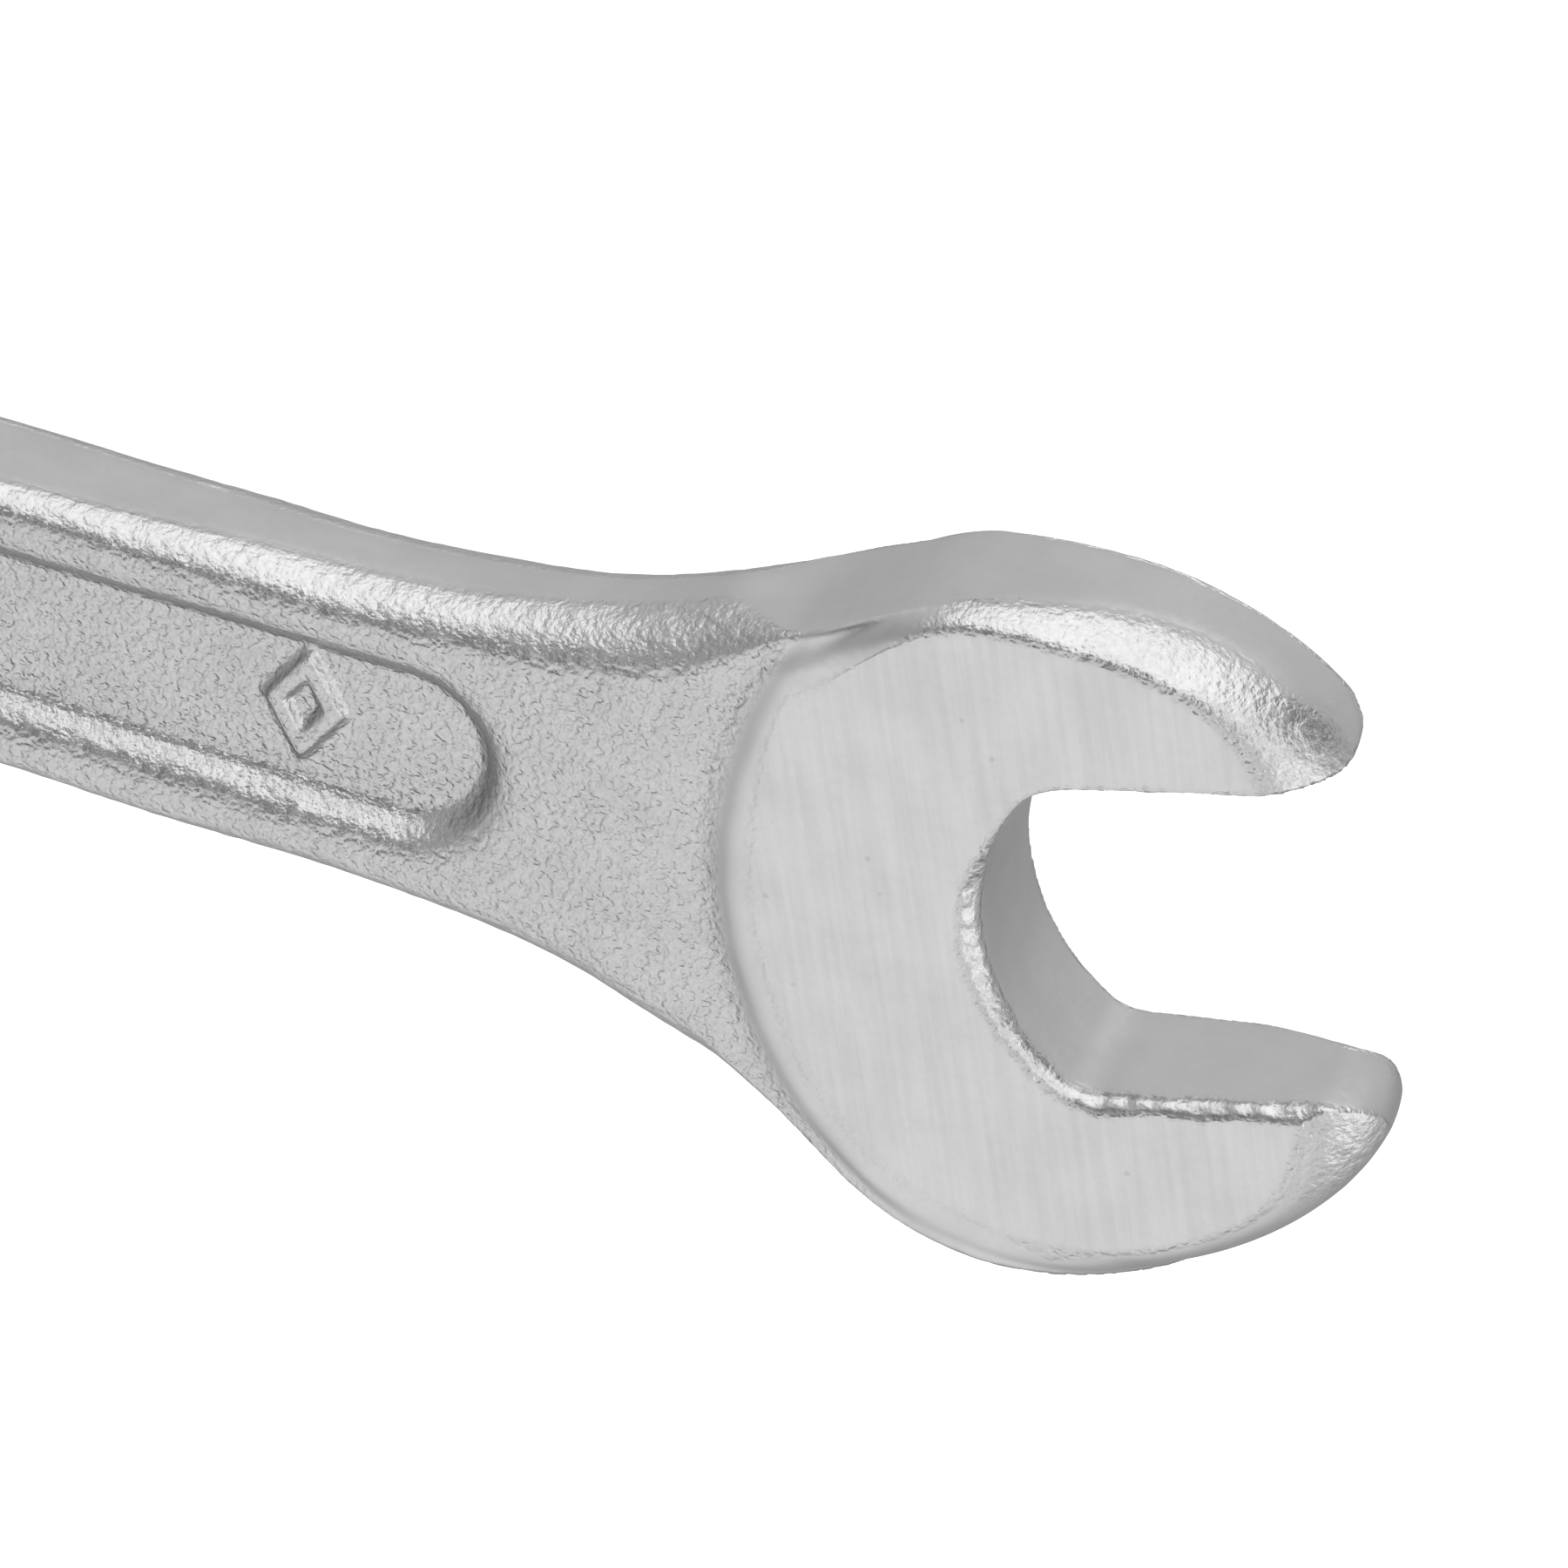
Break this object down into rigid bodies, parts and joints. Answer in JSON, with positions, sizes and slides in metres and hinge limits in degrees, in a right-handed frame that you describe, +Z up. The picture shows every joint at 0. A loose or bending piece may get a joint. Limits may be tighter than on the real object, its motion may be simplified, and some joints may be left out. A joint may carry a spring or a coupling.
{
  "type": "combination wrench",
  "caption": "Combination wrench: open jaws turned from the shank at one end, a tilted twelve-point ring at the other, recessed panels along a forged shank.",
  "frame": {"origin": "centre of the underside of the bounding box, on the surface that the wrench lies on", "axes": "+X along the shank from the ring end to the open end, +Z up, square to the wrench's faces, +Y to the side that the jaws are turned to"},
  "size_m": [0.17, 0.0272, 0.013],
  "materials": {
    "ground_head": "satin chrome over a ground face with a faint linear grain, forged texture on the neck",
    "forged_shank": "satin chrome over a shot-blasted forged surface with fine orange peel",
    "ring_head": "satin chrome, smooth turned rim and broached bore"
  },
  "bodies": {
    "root": {"open_end": "ground_head", "shank": "forged_shank", "box_end": "ring_head"}
  },
  "joints": []
}
